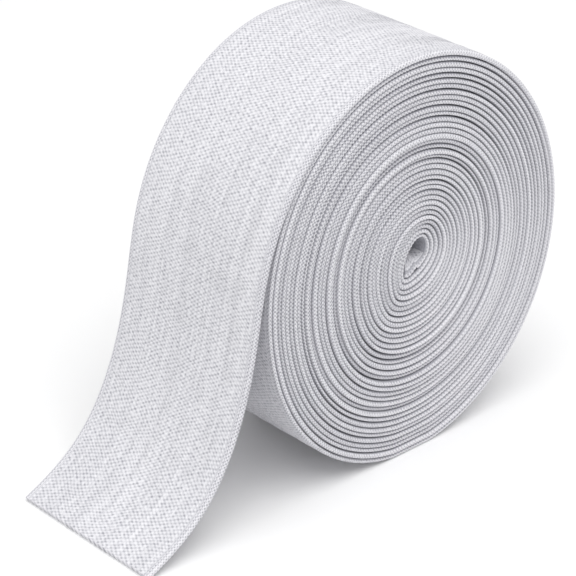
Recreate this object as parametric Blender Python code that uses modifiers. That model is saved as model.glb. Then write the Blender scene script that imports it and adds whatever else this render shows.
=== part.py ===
"""A roll of elastic: one flat band wound on itself, with its last turn peeling off and ending on the surface.

Metres, +Z up. The origin is the middle of the small flat spot that the roll rests on. The roll's axis runs
along Y, and the loose end falls towards -X. There is no core: the band's first turn closes round a small
almond-shaped opening that goes right through.
"""

import math
from collections import namedtuple

import bmesh
import bpy

MM = 0.001

# Band
BAND_WIDTH = 50.0 * MM
TURN_THICKNESS = 1.42 * MM
SELVAGE_ROUND = 0.35 * MM
CLEARANCE = 0.35 * MM

# Roll, in the plane across its axis
AXIS_X = -0.4 * MM
AXIS_Z = 57.0 * MM
LEAVE_ANGLE_DEG = 120.0  # where the last turn lifts off, counted from +X towards +Z
LEAVE_RADIUS = 55.93 * MM  # mean radius of the last turn's outer side at that place
STEP_DEG = 0.4  # the angle over which the outline drops from the last turn to the one beneath it
LIFT_DEG = 30.0  # past this angle the loose end stands clear by itself
COLUMNS = 73  # with these, the flat spot's middle falls on a column

# The roll is slightly out of round: each row is a wave around the outline
Wave = namedtuple("Wave", "crests height first_crest_deg")
OUTLINE_WAVES = (
    Wave(2, 2.50 * MM, 97.0),
    Wave(3, 0.37 * MM, 1.5),
)

# Opening in the middle: a slanted almond, given by its reach from a centre of its own, every REACH_STEP_DEG
CORE_X = AXIS_X + 0.1 * MM
CORE_Z = AXIS_Z + 1.9 * MM
REACH_STEP_DEG = 30.0
Reach = namedtuple("Reach", "angle_deg distance")
CORE_EDGE = (
    Reach(0, 4.0 * MM),
    Reach(30, 4.6 * MM),
    Reach(60, 5.0 * MM),
    Reach(90, 4.1 * MM),
    Reach(120, 3.0 * MM),
    Reach(150, 2.9 * MM),
    Reach(180, 3.4 * MM),
    Reach(210, 4.6 * MM),
    Reach(240, 5.3 * MM),
    Reach(270, 3.7 * MM),
    Reach(300, 3.0 * MM),
    Reach(330, 3.2 * MM),
)

# Turns that lie together on a face. The share is counted from the core's edge to the last full turn, and the
# heights are how far each group stands proud of the band's nominal edge, near side and far side.
Group = namedtuple("Group", "outer_share near_proud far_proud")
TURN_GROUPS = (
    Group(0.12, -0.9 * MM, -0.3 * MM),
    Group(0.21, -0.4 * MM, -0.6 * MM),
    Group(0.33, -0.7 * MM, -0.2 * MM),
    Group(0.45, -0.2 * MM, -0.5 * MM),
    Group(0.53, -0.5 * MM, 0.0 * MM),
    Group(0.66, 0.0 * MM, -0.4 * MM),
    Group(0.78, -0.4 * MM, -0.1 * MM),
    Group(0.88, -0.1 * MM, -0.5 * MM),
    Group(1.00, -0.3 * MM, -0.2 * MM),
)
GROOVE_DEPTH = 0.7 * MM
GROOVE_SHARE = 0.012  # half the width of a groove, as a share of the face
FACE_SWAY = 0.12 * MM  # how far a group's edge wanders in and out round the roll

# Loose end: the way its outer side heads, at distances along it from the place where it leaves the roll
Bend = namedtuple("Bend", "along heading_deg")
LOOSE_END = (
    Bend(0.0 * MM, 213.0),
    Bend(12.0 * MM, 225.9),
    Bend(24.0 * MM, 237.2),
    Bend(36.0 * MM, 248.2),
    Bend(48.0 * MM, 258.3),
    Bend(58.0 * MM, 261.2),
    Bend(68.0 * MM, 258.3),
    Bend(80.0 * MM, 252.1),
    Bend(92.0 * MM, 244.0),
    Bend(104.0 * MM, 232.2),
    Bend(112.0 * MM, 218.8),
    Bend(120.0 * MM, 209.4),
    Bend(129.3 * MM, 202.8),
)
SHEET_STEP = 2.4 * MM
SHEET_STRIPS = 6

ELASTIC_COLOUR = (0.80, 0.80, 0.83, 1.0)
ELASTIC_ROUGHNESS = 0.85


def clear_scene():
    for old in list(bpy.data.objects):
        bpy.data.objects.remove(old, do_unlink=True)


def elastic_material():
    material = bpy.data.materials.new("woven_elastic")
    material.use_nodes = True
    shader = material.node_tree.nodes["Principled BSDF"]
    shader.inputs["Base Color"].default_value = ELASTIC_COLOUR
    shader.inputs["Roughness"].default_value = ELASTIC_ROUGHNESS
    shader.inputs["Metallic"].default_value = 0.0
    return material


def outline_wave(angle_deg):
    """How far the roll's outline stands out of round at this angle."""
    return sum(
        wave.height * math.cos(math.radians(wave.crests * (angle_deg - wave.first_crest_deg)))
        for wave in OUTLINE_WAVES
    )


def spiral_radius(angle_deg):
    """Outer side of the last full turn, from LEAVE_ANGLE_DEG - 360 up to LEAVE_ANGLE_DEG."""
    back = LEAVE_ANGLE_DEG - angle_deg
    under_loose_end = max(0.0, 1.0 - (360.0 - back) / LIFT_DEG)
    return (
        LEAVE_RADIUS
        - TURN_THICKNESS * back / 360.0
        - CLEARANCE * under_loose_end
        + outline_wave(angle_deg)
    )


def around_axis(angle_deg, radius):
    angle = math.radians(angle_deg)
    return AXIS_X + radius * math.cos(angle), AXIS_Z + radius * math.sin(angle)


def core_reach(angle_deg):
    """Reach of the opening's edge at any angle, on a smooth curve through its rows."""
    place = (angle_deg % 360.0) / REACH_STEP_DEG
    row = int(place)
    share = place - row
    before, low, high, after = (CORE_EDGE[(row + step) % len(CORE_EDGE)].distance for step in (-1, 0, 1, 2))
    slope_low = (high - before) / 2.0
    slope_high = (after - low) / 2.0
    bend = 2.0 * (low - high) + slope_low + slope_high
    turn = 3.0 * (high - low) - 2.0 * slope_low - slope_high
    return ((bend * share + turn) * share + slope_low) * share + low


def core_point(angle_deg):
    angle = math.radians(angle_deg)
    reach = core_reach(angle_deg)
    return CORE_X + reach * math.cos(angle), CORE_Z + reach * math.sin(angle)


def full_turn_point(angle_deg):
    """A closed outline that runs within the last full turn."""
    return around_axis(angle_deg, LEAVE_RADIUS - 1.5 * TURN_THICKNESS + outline_wave(angle_deg))


def column_angles():
    """One round of angles that starts at the foot of the step and ends at its top."""
    first = LEAVE_ANGLE_DEG - 360.0 + STEP_DEG
    last = LEAVE_ANGLE_DEG
    return [first + (last - first) * column / (COLUMNS - 1) for column in range(COLUMNS)]


def ring_between(share, side, proud, phase_deg=0.0):
    """A ring on a face, at a share of the way from the core's edge to the last full turn."""
    ring = []
    for angle_deg in column_angles():
        inner_x, inner_z = core_point(angle_deg)
        outer_x, outer_z = full_turn_point(angle_deg)
        sway = FACE_SWAY * math.sin(math.radians(2.0 * angle_deg + phase_deg))
        y = side * (BAND_WIDTH / 2 + proud + sway)
        x = inner_x + (outer_x - inner_x) * share
        z = inner_z + (outer_z - inner_z) * share
        ring.append((x, y, z))
    return ring


def ring_outside(inset, side, edge_inset):
    """A ring on the roll's outer side. Nothing reaches below the flat spot."""
    ring = []
    for angle_deg in column_angles():
        x, z = around_axis(angle_deg, spiral_radius(angle_deg) - inset)
        ring.append((x, side * (BAND_WIDTH / 2 - edge_inset), max(z, 0.0)))
    return ring


def face_rings(side):
    """The rings of one face, from the core's edge outwards: each group of turns, with a groove after it."""
    rings = []
    start = 0.0
    for number, group in enumerate(TURN_GROUPS):
        proud = group.near_proud if side < 0 else group.far_proud
        phase_deg = 70.0 * number
        rings.append(ring_between(start + GROOVE_SHARE, side, proud, phase_deg))
        rings.append(ring_between(group.outer_share - GROOVE_SHARE, side, proud, phase_deg))
        rings.append(ring_between(group.outer_share, side, proud - GROOVE_DEPTH, phase_deg))
        start = group.outer_share
    rings.append(ring_outside(SELVAGE_ROUND, side, 0.0))
    rings.append(ring_outside(0.0, side, SELVAGE_ROUND))
    return rings


def loft_closed(name, rings):
    """Joins a closed sequence of closed rings, so that the body goes round like a tube."""
    mesh = bmesh.new()
    loops = [[mesh.verts.new(point) for point in ring] for ring in rings]
    for loop, following in zip(loops, loops[1:] + loops[:1]):
        for column in range(len(loop)):
            beside = (column + 1) % len(loop)
            mesh.faces.new((loop[column], loop[beside], following[beside], following[column]))
    bmesh.ops.recalc_face_normals(mesh, faces=mesh.faces)
    data = bpy.data.meshes.new(name)
    mesh.to_mesh(data)
    mesh.free()
    return data


def wound_roll():
    """The wound turns as one body: near face outwards, round the outside, far face inwards, through the core."""
    near = [ring_between(0.0, -1, TURN_GROUPS[0].near_proud - SELVAGE_ROUND)] + face_rings(-1)
    far = [ring_between(0.0, 1, TURN_GROUPS[0].far_proud - SELVAGE_ROUND)] + face_rings(1)
    return bpy.data.objects.new("wound_roll", loft_closed("wound_roll", near + far[::-1]))


def heading_at(along):
    for low, high in zip(LOOSE_END, LOOSE_END[1:]):
        if along <= high.along:
            share = (along - low.along) / (high.along - low.along)
            return math.radians(low.heading_deg + (high.heading_deg - low.heading_deg) * share)
    return math.radians(LOOSE_END[-1].heading_deg)


def loose_end_path():
    """Points of the loose end's outer side, each with the outward direction there."""
    length = LOOSE_END[-1].along
    steps = round(length / SHEET_STEP)
    step = length / steps
    x, z = around_axis(LEAVE_ANGLE_DEG, spiral_radius(LEAVE_ANGLE_DEG))
    path = []
    for number in range(steps + 1):
        heading = heading_at(number * step)
        path.append((x, z, math.sin(heading), -math.cos(heading)))
        middle = heading_at((number + 0.5) * step)
        x += step * math.cos(middle)
        z += step * math.sin(middle)
    return path


def root_gap():
    """How far along the sheet starts, so that it clears the sloping step in the roll's outline."""
    return CLEARANCE + math.radians(STEP_DEG) * LEAVE_RADIUS


def loose_end():
    """The last turn from where it leaves the roll to its cut end, as a thin sheet that touches the surface."""
    path = loose_end_path()
    underside = [z - TURN_THICKNESS * out_z for _, z, _, out_z in path]
    lift = -min(underside)
    mesh = bmesh.new()
    rows = []
    for number, (x, z, out_x, out_z) in enumerate(path):
        if number == 0:
            x -= out_z * root_gap()
            z += out_x * root_gap()
        row = []
        for strip in range(SHEET_STRIPS + 1):
            y = BAND_WIDTH * (strip / SHEET_STRIPS - 0.5)
            row.append(mesh.verts.new((x, y, z + lift)))
        rows.append(row)
    for row, following in zip(rows, rows[1:]):
        for strip in range(SHEET_STRIPS):
            mesh.faces.new((row[strip], row[strip + 1], following[strip + 1], following[strip]))
    data = bpy.data.meshes.new("loose_end")
    mesh.to_mesh(data)
    mesh.free()
    body = bpy.data.objects.new("loose_end", data)
    thickness = body.modifiers.new("band thickness", "SOLIDIFY")
    thickness.thickness = TURN_THICKNESS
    thickness.offset = -1.0
    return body


def main():
    clear_scene()
    parts = bpy.data.collections.new("roll_of_elastic")
    bpy.context.scene.collection.children.link(parts)
    material = elastic_material()
    for body in (wound_roll(), loose_end()):
        body.data.materials.append(material)
        body.data.shade_smooth()
        body.data.set_sharp_from_angle(angle=math.radians(40.0))
        parts.objects.link(body)


main()
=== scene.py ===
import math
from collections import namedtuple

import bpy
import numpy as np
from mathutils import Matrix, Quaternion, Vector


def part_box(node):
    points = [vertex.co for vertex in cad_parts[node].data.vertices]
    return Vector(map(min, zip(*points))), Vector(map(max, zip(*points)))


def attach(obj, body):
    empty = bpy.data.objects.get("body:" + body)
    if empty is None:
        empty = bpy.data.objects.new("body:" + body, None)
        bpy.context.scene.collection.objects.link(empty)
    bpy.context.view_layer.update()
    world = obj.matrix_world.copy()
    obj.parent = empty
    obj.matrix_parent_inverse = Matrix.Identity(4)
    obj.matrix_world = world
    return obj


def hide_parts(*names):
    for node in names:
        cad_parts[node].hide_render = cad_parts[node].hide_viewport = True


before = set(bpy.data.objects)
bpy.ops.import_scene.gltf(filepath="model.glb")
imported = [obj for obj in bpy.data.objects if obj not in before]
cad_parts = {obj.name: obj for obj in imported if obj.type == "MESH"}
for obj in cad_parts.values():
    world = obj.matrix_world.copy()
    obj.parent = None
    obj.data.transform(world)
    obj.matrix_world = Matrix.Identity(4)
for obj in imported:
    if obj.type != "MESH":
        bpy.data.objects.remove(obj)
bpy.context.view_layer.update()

# %% [markdown]
# # A roll of elastic
#
# The real thing is one long, flat, woven band that a machine winds on itself. Nothing holds it: there is no
# core, no pin and no label. Three things make it read as elastic and not as tape. Its face is a lattice of
# small knots with pits between them, its selvages are soft stitched cords, and because the band is soft, no
# turn lies exactly level with the next one.
#
# So the whole model is made from one idea: a path that winds outwards, and a cross-section that is carried
# along it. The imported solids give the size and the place. Everything below is in metres.

MM = 0.001
roll_low, roll_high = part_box("wound_roll")
end_low, end_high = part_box("loose_end")
print("packed roll, mm:", [round(size / MM, 1) for size in roll_high - roll_low])
print("packed loose end, mm:", [round(size / MM, 1) for size in end_high - end_low])

# %% [markdown]
# ## The band and the roll's outline
#
# A wound roll is never a true circle. This one is taller than it is wide, leans a little, and is pressed
# level where it stands. Those facts could be sculpted by hand, but then every turn would need its own
# sculpting. It is simpler to say how the outermost turn and the opening in the middle are shaped, and to let
# every turn between them be a mix of the two.

# %% Sizes of the band and shape of the roll
BAND_WIDTH = 50.0 * MM
HALF_WIDTH = BAND_WIDTH / 2
AXIS_X = -0.4 * MM
AXIS_Z = 57.0 * MM
LEAVE_DEG = 120.0  # where the last turn lifts off, from +X towards +Z
LEAVE_RADIUS = 55.93 * MM
TURNS = 36.68  # counted along the line on which the last turn lifts off
TOTAL_DEG = 360.0 * (TURNS - 1.0)  # from there back to the inner end
INNER_END_ANGLE_DEG = LEAVE_DEG - TOTAL_DEG

Wave = namedtuple("Wave", "crests height first_crest_deg")
OUTLINE_WAVES = (
    Wave(2, 2.50 * MM, 97.0),
    Wave(3, 0.37 * MM, 1.5),
)

CORE_X = AXIS_X + 0.1 * MM
CORE_Z = AXIS_Z + 1.9 * MM
# Reach of the opening's edge from its own centre, every 30 degrees from +X towards +Z
OPENING_REACH = np.array([4.0, 4.6, 5.0, 4.1, 3.0, 2.9, 3.4, 4.6, 5.3, 3.7, 3.0, 3.2]) * MM
OPENING_STEP_DEG = 360.0 / len(OPENING_REACH)
FIRST_PITCH = 1.4 * MM  # what the first turn adds on its way round
FIRST_STEP_DEG = 30.0  # the last part of that turn, which steps down to the inner end again


def periodic_cubic(values, place):
    """Smooth closed curve through evenly spaced values; place counts in steps between them."""
    row = np.floor(place).astype(int)
    share = place - row
    before, low, high, after = (values[(row + step) % len(values)] for step in (-1, 0, 1, 2))
    slope_low = (high - before) / 2
    slope_high = (after - low) / 2
    bend = 2 * (low - high) + slope_low + slope_high
    turn = 3 * (high - low) - 2 * slope_low - slope_high
    return ((bend * share + turn) * share + slope_low) * share + low


def core_outline(angle_deg):
    """Where the winding would start: the opening's edge, less what the first turn adds on its way round."""
    from_end = np.mod(np.asarray(angle_deg) - INNER_END_ANGLE_DEG, 360.0)
    reach = periodic_cubic(OPENING_REACH, np.mod(angle_deg, 360) / OPENING_STEP_DEG)
    first_turn = np.minimum(from_end / 360.0, (360.0 - from_end) / FIRST_STEP_DEG)
    reach = reach - first_turn * FIRST_PITCH
    angle = np.radians(angle_deg)
    return np.stack([CORE_X + reach * np.cos(angle), CORE_Z + reach * np.sin(angle)], -1)


def outer_outline(angle_deg):
    angle = np.radians(angle_deg)
    radius = np.full_like(angle, LEAVE_RADIUS)
    for wave in OUTLINE_WAVES:
        radius += wave.height * np.cos(wave.crests * (angle - math.radians(wave.first_crest_deg)))
    return np.stack([AXIS_X + radius * np.cos(angle), AXIS_Z + radius * np.sin(angle)], -1)


ring = outer_outline(np.arange(0.0, 360.0))
PITCH = (LEAVE_RADIUS - OPENING_REACH.mean()) / TURNS
print("outline, mm:", np.round(np.ptp(ring, axis=0) / MM, 1), "pitch, mm:", round(PITCH / MM, 3))

# %% [markdown]
# ## Small unevenness that can be repeated
#
# Soft turns slide a little as they are wound: some edges stand proud, some sink, some grooves close up and
# some gape. Random numbers for each vertex would look like noise, because a real band changes slowly along
# its length. Here a few random values are spaced along the band and joined by a smooth curve. The generator
# has a fixed seed, so the roll is the same one every time.

# %% Slow random change along the band
ROLL_SEED = 41
VALUES_IN_ROW = 400
random = np.random.default_rng(ROLL_SEED)


def random_values(count=VALUES_IN_ROW):
    """Values between -1 and 1, to be spaced along the band and joined with periodic_cubic."""
    return random.uniform(-1.0, 1.0, count)


def eased(share):
    """A share from 0 to 1 that starts and stops gently."""
    return share * share * (3 - 2 * share)


print("a slow wander:", np.round(periodic_cubic(random_values(), np.arange(6) * 0.5), 2))

# %% [markdown]
# ## The winding
#
# A point on the band is named by how far it lies back from the place where the last turn lifts off, in
# degrees of winding. Its outer side lies at a share of the way from the opening to the outermost outline,
# and its inner side one turn further in. Both sides of a groove come from the same curve, so turns can never
# cut into each other, however uneven the curve is. Some grooves gape for about one turn and read as dark
# rings, and on the right of the roll, where the turns are loosest, nearly all of them do.

# %% How wide the grooves are
GROOVE = 0.055  # open part of a turn's thickness where turns are pressed together
DEEP_GROOVE = 0.14  # more of it in a deep groove
# Deep grooves, counted in turns from the outside
DEEP_GROOVES = (
    1.4, 2.4, 4.3, 5.4, 7.3, 8.6, 10.0, 12.3, 14.5, 16.8, 18.4, 20.4, 21.8, 24.0, 25.9, 28.6, 31.7,
)
DEEP_FULL = 0.125  # it is at its deepest for this many turns to either side
DEEP_FADE = 0.5  # and fades over this many more
LOOSE_GROOVE = 0.84  # how nearly every groove is a deep one where the turns are loosest
LOOSE_SIDE_DEG = -22.0  # and where that is, from +X towards +Z
OPEN_PLAY = 0.25  # how far the depth of a groove wanders
THICKNESS_PLAY = 0.10  # how far a groove wanders in and out, as a part of a turn
SETTLE_OUTSIDE = 0.8  # turns over which that dies out towards the outline
SETTLE_INSIDE = 1.5  # and towards the opening
OPEN_RATE = 3.1  # random values in each turn, for the depth
GROOVE_RATE = 2.3  # and for the place

groove_values = random_values()
open_values = random_values()


def loose_side(back_deg):
    """1 on the side where the turns are loosest, 0 on the other one."""
    return 0.5 + 0.5 * np.cos(np.radians(LEAVE_DEG - LOOSE_SIDE_DEG - np.asarray(back_deg)))


def deep_groove(back_deg):
    """1 in the middle of a deep groove, 0 away from it."""
    turns_back = np.asarray(back_deg) / 360.0
    depth = LOOSE_GROOVE * loose_side(back_deg)
    for place in DEEP_GROOVES:
        past_full = np.abs(turns_back - place) - DEEP_FULL
        depth = np.maximum(depth, np.clip(1.0 - past_full / DEEP_FADE, 0.0, 1.0))
    wander = 1.0 - OPEN_PLAY + OPEN_PLAY * periodic_cubic(open_values, turns_back * OPEN_RATE)
    return eased(depth) * wander


def groove_sides(back_deg):
    """Shares of the way out at which a groove's inner and outer side lie."""
    turns_back = back_deg / 360.0
    play = periodic_cubic(groove_values, turns_back * GROOVE_RATE) * THICKNESS_PLAY
    settle = np.clip(turns_back / SETTLE_OUTSIDE, 0.0, 1.0)
    settle = settle * np.clip((TURNS - turns_back) / SETTLE_INSIDE, 0.0, 1.0)
    middle = 1.0 - (turns_back + play * settle) / TURNS
    half = (GROOVE + DEEP_GROOVE * deep_groove(back_deg)) * np.clip(turns_back, 0.0, 1.0) / 2 / TURNS
    return middle - half, middle + half


print("depth of a deep groove and of its neighbour:", np.round(deep_groove(360.0 * np.array([2.4, 3.4])), 2))

# %% Where each turn lies
PRESS_HEIGHT = 14.0 * MM  # turns lower than this share in the flattening
PLAIN_REACH = 3.7 * MM  # reach of a round opening, which the turns settle towards
FORM_FADE = 2.5  # how quickly the turns forget the opening's own form
SLIT_WIDTH = 1.1 * MM  # the inner end stands up to this far off the next turn
SLIT_DEG = 52.0  # over this part of the winding, measured from its tip
SLIT_BEND = 1.5  # how slowly the slit opens from the tip
SLIT_CLOSE = 0.2  # part of its length over which it closes again


def mix_outlines(angle_deg, share):
    """Part of the way out; the opening's own form fades sooner than the turns grow."""
    angle = np.radians(angle_deg)
    start = PLAIN_REACH * np.stack([np.cos(angle), np.sin(angle)], -1) + np.array([AXIS_X, AXIS_Z])
    form = core_outline(angle_deg) - start
    share = share[:, None]
    fade = np.maximum(1.0 - share, 0.0) ** FORM_FADE
    return start + share * (outer_outline(angle_deg) - start) + fade * form


def outer_low(angle_deg):
    """Height of the last turn's outer side at this angle, before the flat spot is pressed."""
    back_deg = np.mod(LEAVE_DEG - np.asarray(angle_deg), 360.0)
    return mix_outlines(angle_deg, 1.0 - back_deg / 360.0 / TURNS)[:, 1]


def place_between(angle_deg, share):
    """Point of the winding, with the turns near the surface pressed up by it."""
    point = mix_outlines(angle_deg, share)
    sunk = np.maximum(0.0, -outer_low(angle_deg))
    pressed = np.clip(1.0 - (point[:, 1] + sunk) / PRESS_HEIGHT, 0.0, 1.0)
    point[:, 1] += sunk * pressed
    return point


def wound_sides(back_deg):
    """Outer and inner side of the band at these places in the winding."""
    angle_deg = LEAVE_DEG - back_deg
    outer_share, _ = groove_sides(back_deg)
    _, inner_share = groove_sides(back_deg + 360.0)
    along_slit = np.clip((TOTAL_DEG - back_deg) / SLIT_DEG, 0.0, 1.0)
    slit = along_slit ** SLIT_BEND * np.clip((1.0 - along_slit) / SLIT_CLOSE, 0.0, 1.0)
    lift_share = slit * SLIT_WIDTH / (PITCH * TURNS)
    outer = place_between(angle_deg, outer_share - lift_share)
    inner = place_between(angle_deg, inner_share - lift_share)
    return outer, inner


sample_outer, sample_inner = wound_sides(np.array([0.0, 360.0, 3600.0]))
print("thickness, mm:", np.round(np.linalg.norm(sample_outer - sample_inner, axis=1) / MM, 2))

# %% [markdown]
# ## The loose end
#
# The last turn has lost its tension. It stands off the roll, falls in a lazy S and ends in a straight cut
# that only just touches the surface. A hanging strip can be simulated, but the S of a stiff band comes from
# the set that it took on the roll, which a simulation doesn't know. A table of headings is easier to read:
# each row says which way the band points at a distance from where it leaves the roll.

# %% Path of the loose end
Bend = namedtuple("Bend", "along heading_deg")
LOOSE_END = (
    Bend(0.0 * MM, 213.0),
    Bend(12.0 * MM, 225.9),
    Bend(24.0 * MM, 237.2),
    Bend(36.0 * MM, 248.2),
    Bend(48.0 * MM, 258.3),
    Bend(58.0 * MM, 261.2),
    Bend(68.0 * MM, 258.3),
    Bend(80.0 * MM, 252.1),
    Bend(92.0 * MM, 244.0),
    Bend(104.0 * MM, 232.2),
    Bend(112.0 * MM, 218.8),
    Bend(120.0 * MM, 209.4),
    Bend(129.3 * MM, 202.8),
)
PATH_STEP = 0.1 * MM
SMOOTH_STEPS = 60  # headings are averaged over this many steps to either side
LOOSE_LENGTH = LOOSE_END[-1].along
START_OUTER, START_INNER = wound_sides(np.array([0.0]))
BAND_THICKNESS = float(np.linalg.norm(START_OUTER - START_INNER))


def loose_sides():
    """Distance along, outer side and inner side of the loose end, every PATH_STEP."""
    along = np.arange(0.0, LOOSE_LENGTH + PATH_STEP / 2, PATH_STEP)
    middles = along[:-1] + PATH_STEP / 2
    rows = np.array(LOOSE_END)
    heading_deg = np.interp(middles, rows[:, 0], rows[:, 1])
    window = 2 * SMOOTH_STEPS + 1
    padded = np.pad(heading_deg, SMOOTH_STEPS, mode="edge")
    smooth_deg = np.convolve(padded, np.ones(window) / window, mode="valid")
    heading = np.radians(smooth_deg)
    steps = PATH_STEP * np.stack([np.cos(heading), np.sin(heading)], -1)
    outer = np.vstack([START_OUTER, START_OUTER + np.cumsum(steps, axis=0)])
    turned = np.radians(np.interp(along, middles, smooth_deg))
    outward = np.stack([np.sin(turned), -np.cos(turned)], -1)
    return along, outer, outer - BAND_THICKNESS * outward


loose_along, loose_outer, loose_inner = loose_sides()
print("cut end, mm:", np.round(loose_outer[-1] / MM, 2))
print("lowest point, mm:", round(loose_inner[:, 1].min() / MM, 2))

# %% [markdown]
# The whole band is now one long path. It is stored as a dense list of places, with the distance along the
# band, so that any later step can ask for the two sides of the band at a distance. The distance is 0 where
# the last turn lifts off, negative on the roll and positive on the loose end.

# %% One path for the whole band
WOUND_STEP_DEG = 1.0


def whole_path():
    """Distance along, outer side, inner side and degrees back, from the inner end to the cut."""
    back = np.arange(0.0, TOTAL_DEG, WOUND_STEP_DEG)
    back = np.append(back, TOTAL_DEG)[::-1]
    outer, inner = wound_sides(back)
    lengths = np.linalg.norm(np.diff((outer + inner) / 2, axis=0), axis=1)
    along = np.concatenate([[0.0], np.cumsum(lengths)])
    along -= along[-1]
    lift = np.zeros_like(loose_outer)
    lift[:, 1] = np.linspace(0.0, 1.0, len(loose_along)) * -loose_inner[:, 1].min()
    return (
        np.concatenate([along, loose_along[1:]]),
        np.vstack([outer, (loose_outer + lift)[1:]]),
        np.vstack([inner, (loose_inner + lift)[1:]]),
        np.concatenate([back, np.degrees(-loose_along[1:] / LEAVE_RADIUS)]),
    )


path_along, path_outer, path_inner, path_back = whole_path()
print("length of the band, m:", round(path_along[-1] - path_along[0], 2))


def sides_at(along):
    """Outer and inner side at any distances along the band."""
    outer = np.stack([np.interp(along, path_along, path_outer[:, axis]) for axis in (0, 1)], -1)
    inner = np.stack([np.interp(along, path_along, path_inner[:, axis]) for axis in (0, 1)], -1)
    return outer, inner


def back_at(along):
    """Degrees back in the winding at any distances along the band."""
    return np.interp(along, path_along, path_back)


def along_at(back_deg):
    """Distance along the band of one place in the winding."""
    return float(np.interp(-back_deg, -path_back, path_along))


# %% [markdown]
# ## How far the edges stand proud
#
# On the faces of the roll, light catches the turns that stand proud and leaves the sunk ones grey, and the
# material paints sunk edges a shade greyer still. Whole groups of turns shift together, because the winder
# wandered: the imported roll has these groups as steps, and the table repeats them. Single turns then shift a
# little more, so that a bright turn often lies beside a grey one. The last turn lies flush.

# %% Edge of the band on the near and the far face
TurnGroup = namedtuple("TurnGroup", "outer_share near_proud far_proud")
TURN_GROUPS = (
    TurnGroup(0.12, -0.9 * MM, -0.3 * MM),
    TurnGroup(0.21, -0.4 * MM, -0.6 * MM),
    TurnGroup(0.33, -0.7 * MM, -0.2 * MM),
    TurnGroup(0.45, -0.2 * MM, -0.5 * MM),
    TurnGroup(0.53, -0.5 * MM, 0.0 * MM),
    TurnGroup(0.66, 0.0 * MM, -0.4 * MM),
    TurnGroup(0.78, -0.4 * MM, -0.1 * MM),
    TurnGroup(0.88, -0.1 * MM, -0.5 * MM),
    TurnGroup(1.00, -0.3 * MM, -0.2 * MM),
)
TURN_SHIFT = 0.42 * MM  # how far a turn slides towards one face
WIDTH_CHANGE = 0.12 * MM  # how much the band draws in at each edge
SHIFT_RATE = 1.3  # random values in each turn, for the shift
WIDTH_RATE = 2.9  # and for the width
FLUSH_TURNS = 1.2  # turns over which all this sets in, from the outside
SUNK_START = 0.3  # turns from the outside at which an edge can start to lie in shade

shift_values = random_values()
width_values = random_values()


def group_proud(share, side):
    """How far the turns at this share of the way out stand proud, changing evenly from group to group."""
    outer_shares = np.array([group.outer_share for group in TURN_GROUPS])
    proud = np.array([getattr(group, side) for group in TURN_GROUPS])
    middles = (outer_shares + np.concatenate([[0.0], outer_shares[:-1]])) / 2
    return np.interp(share, middles, proud)


def edges_at(turns_back):
    """How far the near edge and the far edge lie from the middle of the band's width."""
    share = 1.0 - turns_back / TURNS
    settle = np.clip(turns_back / FLUSH_TURNS, 0.0, 1.0)
    shift = periodic_cubic(shift_values, turns_back * SHIFT_RATE) * TURN_SHIFT
    change = periodic_cubic(width_values, turns_back * WIDTH_RATE) * WIDTH_CHANGE
    near = -HALF_WIDTH + (shift + change - group_proud(share, "near_proud")) * settle
    far = HALF_WIDTH + (shift - change + group_proud(share, "far_proud")) * settle
    return near, far


def turns_back_at(along):
    return np.maximum(back_at(along) / 360.0, 0.0)


def edge_places(along):
    return edges_at(turns_back_at(along))


def sunk_places(along):
    """How far each edge lies behind the mean of the edges on either side of it; the material paints that as
    shade.
    """
    turns_back = turns_back_at(along)
    here, outside, inside = (edges_at(np.maximum(turns_back + step, 0.0)) for step in (0.0, -1.0, 1.0))
    near = here[0] - (outside[0] + inside[0]) / 2
    far = (outside[1] + inside[1]) / 2 - here[1]
    fade = np.clip(turns_back - SUNK_START, 0.0, 1.0)
    return near * fade, far * fade


for label, edge in zip(("near", "far"), edge_places(np.linspace(path_along[0], 0.0, 2000))):
    print(label, "edge wanders, mm:", np.round([edge.min() / MM, edge.max() / MM], 2))

# %% [markdown]
# ## The cross-section
#
# Cut across, the band is a flat bar with rounded selvages. Each selvage is two soft cords side by side, and
# they are what is seen on the faces of the roll: a bright line, a faint line and then the dark groove. Both
# cords are rows of stitches, and a stitch of one lies beside the space between two stitches of the other.
# The flat sides could be one quad wide, and on hidden turns they are. On the turns that show they are
# divided to the pitch of the knots, because there the lattice is real relief.

# %% Selvage and section
SelvagePoint = namedtuple("SelvagePoint", "depth inset corner stitch")
# depth runs from the inner side (0) to the outer side (1), and inset is how far the point lies from the
# edge. corner is how much of a deep groove's extra rounding it takes, and stitch how much of the stitches.
SELVAGE = (
    SelvagePoint(1.00, 0.45 * MM, 1.0, 0.0),
    SelvagePoint(0.88, 0.17 * MM, 0.6, 0.0),
    SelvagePoint(0.72, 0.05 * MM, 0.0, 1.0),
    SelvagePoint(0.50, 0.12 * MM, 0.0, 0.0),
    SelvagePoint(0.28, 0.05 * MM, 0.0, -1.0),
    SelvagePoint(0.12, 0.17 * MM, 0.6, 0.0),
    SelvagePoint(0.00, 0.45 * MM, 1.0, 0.0),
)
CORNER_INSET = SELVAGE[0].inset
EDGE_START = HALF_WIDTH - CORNER_INSET

SectionPoint = namedtuple("SectionPoint", "side inset depth v corner stitch")
# side is -1 at the near edge and 1 at the far one, with the inset counted from there. v is the place across
# the band for the weave: between -25 and 25 mm on the flats, and past that round a selvage.


def flat_points(across, depth):
    """Points of the section on the band's outer side (depth 1) or inner side (depth 0)."""
    return [
        SectionPoint(-1 if y < 0 else 1, HALF_WIDTH - abs(y), depth, y, float(abs(y) == EDGE_START), 0.0)
        for y in across
    ]


def selvage_points(side):
    """Points of the section round one selvage, from the outer side to the inner one."""
    points = []
    for point in SELVAGE[1:-1]:
        v = side * (HALF_WIDTH + (1 - point.depth) * PITCH)
        points.append(SectionPoint(side, point.inset, point.depth, v, point.corner, point.stitch))
    return points


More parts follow.
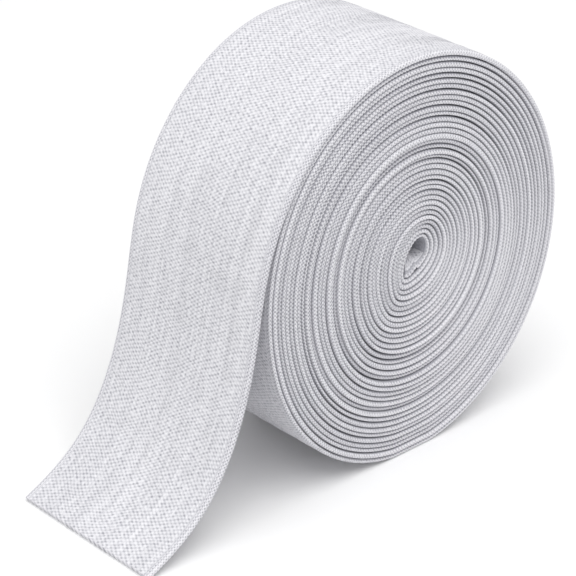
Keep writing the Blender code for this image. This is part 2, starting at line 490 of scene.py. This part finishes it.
def section_points(across_outer, across_inner):
    """One loop round the band: outer side, far selvage, inner side, near selvage."""
    inner_side = flat_points(across_inner, 0.0)[::-1]
    return flat_points(across_outer, 1.0) + selvage_points(1) + inner_side + selvage_points(-1)[::-1]


plain_across = np.array([-EDGE_START, EDGE_START])
print("points round a hidden turn:", len(section_points(plain_across, plain_across)))

# %% [markdown]
# The selvage isn't the same all the way along. Beside a deep groove its corner is rounder, and the stitches
# stand out where the turns are wound tight and lie flatter where they are loose.

# %% Corners and stitches along the band
CORD_WIDTH = 0.7 * MM
SELVAGE_WIDTH = 2 * CORD_WIDTH
CORNER_EXTRA = 0.65 * MM  # more rounding of a corner beside a deep groove
STITCH_LENGTH = 1.05 * MM
STITCH_HEIGHT = 0.10 * MM
TIGHT_STITCHES = 1.2  # times that height where the turns are tightest
LOOSE_FLATTENING = 0.6  # part of that lost where they are loosest
STITCH_PLAY = 0.7  # how unevenly the stitches stand out
STITCH_PLAY_STEP = 1.3 * MM
EDGE_SHIFT = 50.0  # steps that each edge's random values are moved by, so that the edges don't match


def corner_extra(along, depth):
    """Extra rounding of the corner that faces a deep groove."""
    back = back_at(along)
    outer_groove = deep_groove(back) * np.clip(back / 180.0, 0.0, 1.0)
    inner_groove = deep_groove(back + 360.0) * np.clip((back + 360.0) / 180.0, 0.0, 1.0)
    return CORNER_EXTRA * np.where(depth > 0.5, outer_groove, inner_groove)


def stitch_share(along):
    """How much of the stitches shows here, in their height and in the painted shade between them."""
    return TIGHT_STITCHES * (1.0 - LOOSE_FLATTENING * loose_side(back_at(along)))


def stitch_height(along, side):
    """Stitches of the first cord; the second cord has them the other way round."""
    uneven = 1.0 + STITCH_PLAY * periodic_cubic(width_values, along / STITCH_PLAY_STEP + EDGE_SHIFT * side)
    return STITCH_HEIGHT * stitch_share(along) * uneven * np.cos(2 * math.pi * along / STITCH_LENGTH)


loosest_back = LEAVE_DEG - LOOSE_SIDE_DEG + 360.0
for label, back_deg in (("tight", loosest_back + 180.0), ("loose", loosest_back)):
    print("stitches where", label + ", mm:", round(STITCH_HEIGHT * stitch_share(along_at(back_deg)) / MM, 2))

# %% [markdown]
# ## Carrying the section along the path
#
# Blender could do this with a curve and a bevel object, but a bevel can't change along the way, and here the
# edges wander and the knots stand up. So the mesh is made as a grid: one row of vertices for each place
# along the band, one column for each point of the section, and a cap at each end. Each corner also gets its
# place on the flat band as a UV, in metres, which is what the weave is drawn with. Two more values are kept
# for the material: how far a vertex is sunk between its neighbours, with extra for the sides of a groove,
# which the material paints as shade, and how much the stitches show.

# %% Vertices, faces and places on the band
def ribbon_points(place, section, sunk, relief, lean):
    """Vertices of a ribbon, row by row; sunk is how far each one lies in from its edge."""
    side, _, depth, v, _, _ = section
    outer, inner = (sides.reshape(*place.shape, 2) for sides in sides_at(place.ravel()))
    through = outer - inner
    thickness = np.linalg.norm(through, axis=2, keepdims=True)
    lifted = inner + through * depth[None, :, None]
    if relief is not None:
        height = relief(place, v) * np.where(depth == 1.0, 1.0, 0.0)
        lifted = lifted + through / thickness * height[:, :, None]
    near, far = edge_places(place)
    y = np.where(side < 0, near + sunk, far - sunk)
    if lean is not None:
        lifted = lifted + lean(place, y, -through / thickness)
    z = np.maximum(lifted[:, :, 1], 0.0)
    return np.stack([lifted[:, :, 0], y, z], -1).reshape(-1, 3)


def ribbon_faces(rows, columns):
    """Quads between the rows, and then a cap at each end."""
    grid = np.arange(rows * columns).reshape(rows, columns)
    beside = np.roll(grid, -1, axis=1)
    quads = np.stack([grid[:-1], beside[:-1], beside[1:], grid[1:]], -1).reshape(-1, 4)
    return quads.tolist() + [grid[0, ::-1].tolist(), grid[-1].tolist()]


def band_places(along, depth, v):
    """Place on the flat band of each face corner, in the order of ribbon_faces."""
    rows, columns = len(along), len(v)
    v_stop = np.roll(v, -1)
    # The last quad of the far selvage ends at the selvage's own end, not at the flat side's place
    selvage_end = (np.roll(depth, -1) == 0.0) & (depth > 0.0)
    v_stop[selvage_end] = np.sign(v[selvage_end]) * (HALF_WIDTH + PITCH)
    corners_v = np.stack([v, v_stop, v_stop, v], -1)
    corners_v = np.repeat(corners_v[None], rows - 1, axis=0).reshape(-1)
    low = np.repeat(along[:-1], columns)
    high = np.repeat(along[1:], columns)
    corners_u = np.stack([low, low, high, high], -1).reshape(-1)
    caps_u = np.repeat([along[0], along[-1]], columns)
    caps_v = np.concatenate([v[::-1], v])
    return np.stack([np.concatenate([corners_u, caps_u]), np.concatenate([corners_v, caps_v])], -1)


print("faces of a ribbon with 3 rows of 4 vertices:", len(ribbon_faces(3, 4)))

# %% Make a ribbon
WEAVE_UV = "band"
# This attribute carries painted shade: sunk edges and the sides of grooves are greyed in the material
SUNK = "sunk"
STITCHES = "stitches"
SHARP_DEG = 60.0
ROUNDING = 0.01 * MM  # two lengths that differ by less are the same


def add_object(name, data):
    """An object in the scene that shows this mesh, lamp or camera."""
    thing = bpy.data.objects.new(name, data)
    bpy.context.scene.collection.objects.link(thing)
    return thing


def add_ribbon(name, along, loop, relief=None, row_sway=None, groove_shade=0.0, lean=None):
    """A closed ribbon that follows the band's path at these distances."""
    section = np.array(loop).T
    side, inset, depth, v, corner, stitch = section
    place = np.repeat(along[:, None], len(loop), axis=1)
    if row_sway is not None:
        place = place + row_sway(place, np.clip(v, -HALF_WIDTH, HALF_WIDTH))
    sunk = inset + corner * corner_extra(place, depth) - stitch * stitch_height(place, side)
    mesh = bpy.data.meshes.new(name)
    points = ribbon_points(place, section, sunk, relief, lean)
    mesh.from_pydata(points.tolist(), [], ribbon_faces(*place.shape))
    layer = mesh.uv_layers.new(name=WEAVE_UV)
    layer.data.foreach_set("uv", band_places(along, depth, v).astype(np.float32).ravel())

    # Painted shade: sunk edges are greyed through this attribute
    near_sunk, far_sunk = sunk_places(place)
    # Painted shade on the sides of a groove, at its corner points, by how far they lie in
    in_groove = np.where(inset < CORNER_INSET + ROUNDING, sunk, 0.0)
    sunk_and_groove_shade = np.where(side < 0, near_sunk, far_sunk) + groove_shade * in_groove
    for label, values in ((SUNK, sunk_and_groove_shade / MM), (STITCHES, stitch_share(place))):
        attribute = mesh.attributes.new(label, "FLOAT", "POINT")
        attribute.data.foreach_set("value", values.astype(np.float32).ravel())
    mesh.shade_smooth()
    mesh.set_sharp_from_angle(angle=math.radians(SHARP_DEG))
    mesh.validate()
    print(name, "faces:", len(mesh.polygons))
    return add_object(name, mesh)


# %% [markdown]
# ## The knots of the weave
#
# Up close the face is a lattice: a knot every 1.13 mm along the band, in columns 0.95 mm apart, and every
# other column moved on by half a knot. A product of two cosines is exactly that pattern: its high places are
# the knots, its low ones the pits. If a vertex stands on each high and low place, a coarse grid is enough to
# carry it.

# %% Relief of the visible side
KNOT_ALONG = 1.13 * MM
COLUMN_STEP = 0.95 * MM
KNOT_HEIGHT = 0.14 * MM
PIT_SHARPNESS = 1.5  # above 1, the pits are narrower than the knots
RIB_HEIGHT = 0.07 * MM
RIB_STEP = 1.9 * MM  # lengthwise ribs change this far apart
CORD_HEIGHT = 0.04 * MM
FIELD_FADE = 0.3 * MM  # the knots fade out over this width beside the selvage

rib_values = random_values(64)


def lattice(along, v):
    return np.cos(math.pi * v / COLUMN_STEP) * np.cos(2 * math.pi * along / KNOT_ALONG)


def face_relief(along, v):
    """Height of the visible side: knots and faint ribs in the field, two cords in each selvage."""
    from_edge = HALF_WIDTH - np.abs(v)
    field = np.clip((from_edge - SELVAGE_WIDTH) / FIELD_FADE, 0.0, 1.0)
    ribs = periodic_cubic(rib_values, v / RIB_STEP) * RIB_HEIGHT
    cords = -CORD_HEIGHT * np.cos(2 * math.pi * from_edge / CORD_WIDTH)
    knots = 1.0 - 2.0 * ((1.0 - lattice(along, v)) / 2.0) ** PIT_SHARPNESS
    return field * (knots * KNOT_HEIGHT + ribs) + (1 - field) * cords


FIELD_HALF = COLUMN_STEP * math.floor((HALF_WIDTH - SELVAGE_WIDTH) / COLUMN_STEP)
field_across = np.arange(-FIELD_HALF, FIELD_HALF + COLUMN_STEP / 4, COLUMN_STEP / 2)
selvage_across = HALF_WIDTH - CORD_WIDTH * np.array([2.0, 1.5, 1.0])
selvage_across = np.concatenate([[FIELD_HALF + COLUMN_STEP / 2], selvage_across, [EDGE_START]])
knit_across = np.concatenate([-selvage_across[::-1], field_across, selvage_across])
print("vertices across the visible side:", len(knit_across))

# %% [markdown]
# The rows of knots aren't quite straight across the band. They sway in a slow wave and a quick one, and
# small patches of the weave are pulled a little ahead of the rest. Near a cut the rows are straight again.

# %% Sway of the rows
LAST_TURN_DEG = 365.0  # how far back the mesh of the last turn starts
LAST_TURN_START = along_at(LAST_TURN_DEG)
SLOW_SWAY = 0.45 * MM
SLOW_WAVE = 37.0 * MM
SLOW_START = 0.6
QUICK_SWAY = 0.16 * MM
QUICK_WAVE = 13.0 * MM
QUICK_DRIFT = 60.0 * MM  # how far along the band the quick wave has moved on by a radian
PATCH_SWAY = 0.30 * MM
PATCH_SPACING = 4.6 * MM
PATCH_LINES = 12  # lines of random values across the band, enough for its width
CUT_FADE = 8.0 * MM

sway_values = random_values((PATCH_LINES, VALUES_IN_ROW))


def patch_noise(along, v, spacing):
    """Smooth random values over the band's face, changing along and across it."""
    column = v / spacing + PATCH_LINES / 2
    first = np.clip(np.floor(column).astype(int), 0, PATCH_LINES - 2)
    share = eased(np.clip(column - first, 0.0, 1.0))
    low, high = np.zeros_like(along), np.zeros_like(along)
    for line in range(PATCH_LINES - 1):
        here = np.broadcast_to(first == line, along.shape)
        low[here] = periodic_cubic(sway_values[line], along[here] / spacing)
        high[here] = periodic_cubic(sway_values[line + 1], along[here] / spacing)
    return low + (high - low) * share


def row_sway(along, v):
    """How far a row of knots runs ahead at each place across the band."""
    slow = SLOW_SWAY * np.sin(2 * math.pi * v / SLOW_WAVE + SLOW_START)
    quick = QUICK_SWAY * np.sin(2 * math.pi * v / QUICK_WAVE + along / QUICK_DRIFT)
    patches = PATCH_SWAY * patch_noise(along, v, PATCH_SPACING)
    to_cuts = np.minimum(LOOSE_LENGTH - along, along - LAST_TURN_START)
    return (slow + quick + patches) * np.clip(to_cuts / CUT_FADE, 0.0, 1.0)


sample_row = row_sway(np.zeros(len(knit_across)), knit_across)
print("one row sways, mm:", np.round(np.array([sample_row.min(), sample_row.max()]) / MM, 2))

# %% [markdown]
# ## The pieces
#
# The band is cut into six pieces for the mesh's sake. The loose end runs on up to the right of the roll, so
# that the place where it would be joined lies on the side that is turned away. The last turn completes it.
# The turns inside show only their edges, so they have few points across and two rows to each stitch. The
# inner end is the exception: nothing holds it, so it leans across the opening and shows its woven side.

# %% Make the six ribbons
STRIP_START_DEG = 100.0  # how far back from the lift-off the loose end's mesh starts
OUTER_TURNS_DEG = 360.0 * 8.0  # and the same for the outer turns
MIDDLE_TURNS_DEG = 360.0 * 17.0  # and for the middle ones
INNER_END_DEG = 115.0  # the leaning end's share of the innermost turn
BACK_POINTS = 13  # points across the inner side of a woven piece
END_WOVEN = 24.0 * MM  # the inner end has points for its bend this far in from the near edge
GROOVE_SHADE = 3.0  # painted shade: how much greyer the sides of a groove are than the stitches
LEAN_WIDTH = 4.0 * MM  # how far the inner end leans across the opening
LEAN_DEPTH = 4.2 * MM  # and how deep inside it has got there
LEAN_START = 0.5 * MM  # its edges don't lean at all


def inner_lean(along, y, inward):
    """How far the inner end is moved into the opening, more the deeper it lies behind the near face."""
    near, far = edge_places(along)
    near_end = np.clip((back_at(along) - TOTAL_DEG + INNER_END_DEG) / INNER_END_DEG, 0.0, 1.0)
    deep = np.clip((y - near - LEAN_START) / LEAN_DEPTH, 0.0, 1.0)
    from_far = np.clip((far - y - LEAN_START) / LEAN_DEPTH, 0.0, 1.0)
    amount = LEAN_WIDTH * eased(near_end) * deep * (2 - deep) * from_far
    return inward * amount[..., None]


def rows_between(start, stop, repeat):
    """Places along the band with two rows to each repeat, on its own high and low places."""
    half = repeat / 2
    rows = np.arange(math.ceil(start / half), math.floor(stop / half) + 1) * half
    ends = [[place] for place in (start, stop) if np.abs(rows - place).min() > half / 4]
    return np.sort(np.concatenate([rows] + ends))


half_knot = KNOT_ALONG / 2
strip_start = math.ceil(along_at(STRIP_START_DEG) / half_knot) * half_knot
outer_cut, middle_cut, inner_cut, inner_tip = (
    along_at(back_deg)
    for back_deg in (OUTER_TURNS_DEG, MIDDLE_TURNS_DEG, TOTAL_DEG - INNER_END_DEG, TOTAL_DEG)
)
knit_loop = section_points(knit_across, np.linspace(-EDGE_START, EDGE_START, BACK_POINTS))
plain_loop = section_points(plain_across, plain_across)
end_across = np.concatenate([-EDGE_START + np.arange(0.0, END_WOVEN, COLUMN_STEP / 2), [EDGE_START]])
end_loop = section_points(plain_across, end_across)

loose_end_strip, last_turn = (
    add_ribbon(name, rows_between(start, stop, KNOT_ALONG), knit_loop, face_relief, row_sway)
    for name, start, stop in (
        ("loose_end_strip", strip_start, LOOSE_LENGTH),
        ("last_turn", LAST_TURN_START, strip_start),
    )
)
outer_turns, middle_turns, inner_turns = (
    add_ribbon(name, rows_between(start, stop, STITCH_LENGTH), plain_loop, groove_shade=GROOVE_SHADE)
    for name, start, stop in (
        ("outer_turns", outer_cut, LAST_TURN_START),
        ("middle_turns", middle_cut, outer_cut),
        ("inner_turns", inner_cut, middle_cut),
    )
)
end_rows = rows_between(inner_tip, inner_cut, half_knot)
inner_end = add_ribbon("inner_end", end_rows, end_loop, groove_shade=GROOVE_SHADE, lean=inner_lean)
WOUND_PIECES = (last_turn, outer_turns, middle_turns, inner_turns, inner_end)

# %% [markdown]
# ## The weave's colour and its painted shade
#
# The relief gives the knots their shape, and the material gives what is too fine for it: painted shade in the
# pits, where the light is lost between knots, and in the gaps between the stitches and the seams between the
# cords round the selvage; lengthwise ribs that are a shade lighter or darker; the fuzz of bulked nylon; and
# the bump of knots and stitches. It could be painted as an image. A node group that reads the place on the
# band works at any distance, and all pieces can share it, so the pattern runs on from one to the next.
# Inside it, places are in millimetres.

# %% Node helpers
def new_group(name, inputs, outputs):
    group = bpy.data.node_groups.new(name, "ShaderNodeTree")
    for label, default in inputs:
        socket = group.interface.new_socket(name=label, in_out="INPUT", socket_type="NodeSocketFloat")
        socket.default_value = default
    for label in outputs:
        group.interface.new_socket(name=label, in_out="OUTPUT", socket_type="NodeSocketFloat")
    return group, group.nodes.new("NodeGroupInput"), group.nodes.new("NodeGroupOutput")


def math_node(tree, operation, first, second=None, clamp=False):
    node = tree.nodes.new("ShaderNodeMath")
    node.operation = operation
    node.use_clamp = clamp
    for slot, value in enumerate((first, second)):
        if value is None:
            continue
        if isinstance(value, (int, float)):
            node.inputs[slot].default_value = value
        else:
            tree.links.new(value, node.inputs[slot])
    return node.outputs[0]


def times(tree, first, second):
    return math_node(tree, "MULTIPLY", first, second)


def plus(tree, first, second, clamp=False):
    return math_node(tree, "ADD", first, second, clamp)


def cosine(tree, value, factor):
    return math_node(tree, "COSINE", times(tree, value, factor))


def lowness(tree, wave):
    """0 on a wave's crests and 1 in its troughs."""
    return times(tree, math_node(tree, "SUBTRACT", 1.0, wave), 0.5)


def ramp_node(tree, value, zero_at, one_at):
    """0 at one value and 1 at another, with an eased change between them."""
    node = tree.nodes.new("ShaderNodeMapRange")
    node.interpolation_type = "SMOOTHSTEP"
    tree.links.new(value, node.inputs["Value"])
    node.inputs["From Min"].default_value = zero_at
    node.inputs["From Max"].default_value = one_at
    return node.outputs["Result"]


def place_node(tree, along, across):
    node = tree.nodes.new("ShaderNodeCombineXYZ")
    tree.links.new(along, node.inputs["X"])
    tree.links.new(across, node.inputs["Y"])
    return node.outputs[0]


def noise_node(tree, vector, scale, detail):
    node = tree.nodes.new("ShaderNodeTexNoise")
    tree.links.new(vector, node.inputs["Vector"])
    node.inputs["Scale"].default_value = scale
    node.inputs["Detail"].default_value = detail
    return node.outputs["Fac"]


# %% The lattice as a node group
UNEVEN_NOISE = (0.9, 3.0)  # scale and detail of the noise that makes the painted shade in some pits and gaps darker than in others
# Painted shade in the pits between knots, where light is lost
PIT_POWER = 1.15
PIT_UNEVEN = (0.15, 0.80)  # part of that noise in which a pit's painted shade goes from none to full
# Painted shade in the gaps between stitches round the selvage
GAP_POWER = 2.0
GAP_UNEVEN = (0.10, 0.65)  # the same for the painted shade in the gap between two stitches
RIB_STRETCH = 0.012  # the ribs are this much longer than they are wide
RIB_NOISE = (1.0, 2.0)
RIB_RANGE = (0.66, 0.34)  # noise that makes the lightest rib and the darkest one
SEAM_SHADE = 0.45  # painted shade in the seams between the cords of the flat side, where light falls into the groove
SEAM_RANGE = (0.2, 0.5)  # they set in over this distance from the edge
FIELD_RANGE = (SELVAGE_WIDTH / MM - 0.1, SELVAGE_WIDTH / MM + 0.2)  # where the selvage becomes the field
STITCH_FACTOR = 2 * math.pi / (STITCH_LENGTH / MM)
SEAM_FACTOR = 2 * math.pi / (CORD_WIDTH / MM)
CORD_STEP = 0.44 * PITCH / MM  # from one cord's middle to the next, round the selvage
CORD_PLACE = 0.28 * PITCH / MM  # and from the edge to the first


def weave_group():
    """Place on the band to the weave's height and to its painted shade, where light is lost in pits, gaps and
    seams.
    """
    group, given, result = new_group(
        "elastic weave",
        [
            ("Along", 0.0),
            ("Across", 0.0),
            ("Knot Length", KNOT_ALONG / MM),
            ("Column Step", COLUMN_STEP / MM),
            ("Half Width", HALF_WIDTH / MM),
            ("Stitch Share", 1.0),
        ],
        ["Height", "Painted Shade", "Rib", "Selvage"],
    )
    along, across = given.outputs["Along"], given.outputs["Across"]
    knots_along = math_node(group, "DIVIDE", along, given.outputs["Knot Length"])
    knots_across = math_node(group, "DIVIDE", across, given.outputs["Column Step"])
    knots = times(group, cosine(group, knots_along, 2 * math.pi), cosine(group, knots_across, math.pi))
    from_middle = math_node(group, "ABSOLUTE", across)
    from_edge = math_node(group, "SUBTRACT", given.outputs["Half Width"], from_middle)
    field = ramp_node(group, from_edge, *FIELD_RANGE)
    selvage = math_node(group, "SUBTRACT", 1.0, field)
    uneven = noise_node(group, place_node(group, along, across), *UNEVEN_NOISE)

    # Painted shade in the pits between the knots
    pit = math_node(group, "POWER", lowness(group, knots), PIT_POWER)
    pit = times(group, pit, ramp_node(group, uneven, *PIT_UNEVEN))

    rib_place = place_node(group, times(group, along, RIB_STRETCH), across)
    rib = ramp_node(group, noise_node(group, rib_place, *RIB_NOISE), *RIB_RANGE)

    cords = cosine(group, plus(group, from_edge, CORD_PLACE), math.pi / CORD_STEP)
    stitches = times(group, cosine(group, along, STITCH_FACTOR), cords)
    # Painted shade in the gaps between stitches
    gap = math_node(group, "POWER", lowness(group, stitches), GAP_POWER)
    gap = times(group, gap, ramp_node(group, uneven, *GAP_UNEVEN))
    gap = times(group, gap, given.outputs["Stitch Share"])

    # Painted shade in the seams between the cords
    seam = math_node(group, "MAXIMUM", cosine(group, from_edge, SEAM_FACTOR), 0.0)
    seam = times(group, times(group, seam, SEAM_SHADE), ramp_node(group, from_edge, *SEAM_RANGE))
    gap = math_node(group, "MAXIMUM", gap, seam)

    height = plus(group, times(group, knots, field), times(group, stitches, selvage))
    dark = plus(group, times(group, pit, field), times(group, gap, selvage))
    for label, value in (("Height", height), ("Painted Shade", dark), ("Rib", rib), ("Selvage", selvage)):
        group.links.new(value, result.inputs[label])
    return group


WEAVE = weave_group()
print("weave group sockets:", [item.name for item in WEAVE.interface.items_tree])

# %% [markdown]
# The yarn is optical white nylon over rubber, so it is a very light grey with the faintest blue in its
# shadows, and the shadows in its pits, gaps and grooves are painted with a blue-grey. The face of the band is
# a little lighter than the selvages that make up the roll's faces, where light falls into the grooves and
# comes back greyer; the material paints that grey as shade.

# %% Material of the band
YARN_LIGHT = (0.940, 0.935, 0.965, 1.0)
# Grey that the painted shade mixes in; the ribs and the fuzz use it for their random tone too
YARN_SHADE_AND_TONE = (0.350, 0.350, 0.390, 1.0)
PIT_SHADE = 0.95  # painted shade: share of that grey in the deepest pit, stitch gap or seam
RIB_SHADE = 0.15  # and in the darkest rib
FUZZ_SHADE = 0.32  # and where the fuzz is thickest
SUNK_SHADE = 0.22  # and for each millimetre that an edge is sunk: painted shade, which the sides of grooves get too
FUZZ_NOISE = (4.0, 3.0)
FUZZ_HEIGHT = 0.8  # of a knot's height in the bump
BUMP_STRENGTH = 0.5
BUMP_DISTANCE = 0.05 * MM
YARN_ROUGHNESS = 0.88
YARN_SPECULAR = 0.25
SHEEN = 0.12
SHEEN_ROUGHNESS = 0.5


def attribute_node(tree, label):
    node = tree.nodes.new("ShaderNodeAttribute")
    node.attribute_name = label
    return node.outputs["Fac"]


def band_material():
    material = bpy.data.materials.new("white_elastic")
    material.use_nodes = True
    tree = material.node_tree
    shader = tree.nodes["Principled BSDF"]
    uv = tree.nodes.new("ShaderNodeUVMap")
    uv.uv_map = WEAVE_UV
    split = tree.nodes.new("ShaderNodeSeparateXYZ")
    tree.links.new(uv.outputs["UV"], split.inputs[0])
    along = times(tree, split.outputs["X"], 1 / MM)
    across = times(tree, split.outputs["Y"], 1 / MM)
    weave = tree.nodes.new("ShaderNodeGroup")
    weave.node_tree = WEAVE
    tree.links.new(along, weave.inputs["Along"])
    tree.links.new(across, weave.inputs["Across"])
    tree.links.new(attribute_node(tree, STITCHES), weave.inputs["Stitch Share"])
    weave.inputs["Knot Length"].default_value = KNOT_ALONG / MM
    weave.inputs["Column Step"].default_value = COLUMN_STEP / MM
    weave.inputs["Half Width"].default_value = HALF_WIDTH / MM

    fuzz = noise_node(tree, place_node(tree, along, across), *FUZZ_NOISE)
    # Painted shade in pits, stitch gaps and seams and on sunk edges and groove sides; ribs and fuzz add random
    # tone
    shade = times(tree, weave.outputs["Painted Shade"], PIT_SHADE)
    shade = plus(tree, shade, times(tree, weave.outputs["Rib"], RIB_SHADE))
    shade = plus(tree, shade, times(tree, fuzz, FUZZ_SHADE))
    shade = plus(tree, shade, times(tree, attribute_node(tree, SUNK), SUNK_SHADE), clamp=True)
    mix = tree.nodes.new("ShaderNodeMix")
    mix.data_type = "RGBA"
    mix.inputs["A"].default_value = YARN_LIGHT
    mix.inputs["B"].default_value = YARN_SHADE_AND_TONE
    tree.links.new(shade, mix.inputs["Factor"])
    tree.links.new(mix.outputs["Result"], shader.inputs["Base Color"])

    bump = tree.nodes.new("ShaderNodeBump")
    bump.inputs["Strength"].default_value = BUMP_STRENGTH
    bump.inputs["Distance"].default_value = BUMP_DISTANCE
    height = plus(tree, weave.outputs["Height"], times(tree, fuzz, FUZZ_HEIGHT))
    tree.links.new(height, bump.inputs["Height"])
    tree.links.new(bump.outputs["Normal"], shader.inputs["Normal"])
    shader.inputs["Roughness"].default_value = YARN_ROUGHNESS
    shader.inputs["Metallic"].default_value = 0.0
    shader.inputs["Specular IOR Level"].default_value = YARN_SPECULAR
    shader.inputs["Sheen Weight"].default_value = SHEEN
    shader.inputs["Sheen Roughness"].default_value = SHEEN_ROUGHNESS
    return material


ELASTIC = band_material()
for piece in (loose_end_strip, *WOUND_PIECES):
    piece.data.materials.append(ELASTIC)
    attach(piece, "root")
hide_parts("loose_end")
for piece in WOUND_PIECES:
    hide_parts("wound_roll")

# %% [markdown]
# ## The table, the light and the camera
#
# White goods on white need light that comes mostly from above and from one side: flat light would wash the
# knots out, and a hard lamp would burn them. A large soft lamp hangs above and to the left, and a pale sky
# fills the rest. The floor is nearly white and plain.

# %% Floor
FLOOR_HALF = 3.0
FLOOR_COLOR = (0.93, 0.93, 0.93, 1.0)
FLOOR_ROUGHNESS = 0.9
FLOOR_SPECULAR = 0.1


def add_floor():
    mesh = bpy.data.meshes.new("floor")
    corners = [(x, y, 0.0) for x, y in ((-1, -1), (1, -1), (1, 1), (-1, 1))]
    mesh.from_pydata([Vector(corner) * FLOOR_HALF for corner in corners], [], [(0, 1, 2, 3)])
    floor = add_object("floor", mesh)
    material = bpy.data.materials.new("pale_floor")
    material.use_nodes = True
    shader = material.node_tree.nodes["Principled BSDF"]
    shader.inputs["Base Color"].default_value = FLOOR_COLOR
    shader.inputs["Roughness"].default_value = FLOOR_ROUGHNESS
    shader.inputs["Specular IOR Level"].default_value = FLOOR_SPECULAR
    mesh.materials.append(material)
    print("floor, m across:", 2 * FLOOR_HALF)


add_floor()

# %% Light
LAMP_PLACE = Vector((-0.34, -0.50, 1.7))
LAMP_AIM = Vector((0.0, 0.0, 0.05))
LAMP_SIZE = 1.8
LAMP_WATTS = 24.0
SKY_COLOR = (1.0, 1.0, 1.0, 1.0)
SKY_STRENGTH = 0.62


def turned_to(place, aim):
    """Turn of a lamp or camera that stands at a place and looks at the aim."""
    return (aim - place).to_track_quat("-Z", "Y")


def add_light():
    world = bpy.data.worlds.new("pale sky")
    world.use_nodes = True
    sky = world.node_tree.nodes["Background"]
    sky.inputs["Color"].default_value = SKY_COLOR
    sky.inputs["Strength"].default_value = SKY_STRENGTH
    bpy.context.scene.world = world
    softbox = bpy.data.lights.new("overhead softbox", "AREA")
    softbox.shape = "DISK"
    softbox.size = LAMP_SIZE
    softbox.energy = LAMP_WATTS
    lamp = add_object("overhead softbox", softbox)
    lamp.location = LAMP_PLACE
    lamp.rotation_euler = turned_to(LAMP_PLACE, LAMP_AIM).to_euler()
    print("lamp, m from the roll:", round((LAMP_PLACE - LAMP_AIM).length, 2))


add_light()
bpy.context.scene.view_settings.view_transform = "Standard"

# %% Camera
CAMERA_PLACE = Vector((-0.40918, -0.41558, 0.34620))
CAMERA_AIM = Vector((-0.01171, 0.01254, 0.03908))
CAMERA_ROLL_DEG = 0.48
CAMERA_LENS = 152.46
SENSOR_WIDTH = 36.0


def add_camera():
    lens = bpy.data.cameras.new("camera")
    lens.lens = CAMERA_LENS
    lens.sensor_width = SENSOR_WIDTH
    camera = add_object("camera", lens)
    roll = Quaternion((0, 0, 1), math.radians(CAMERA_ROLL_DEG))
    camera.rotation_euler = (turned_to(CAMERA_PLACE, CAMERA_AIM) @ roll).to_euler()
    camera.location = CAMERA_PLACE
    bpy.context.scene.camera = camera
    print("camera turned, degrees:", [round(math.degrees(angle), 2) for angle in camera.rotation_euler])


add_camera()
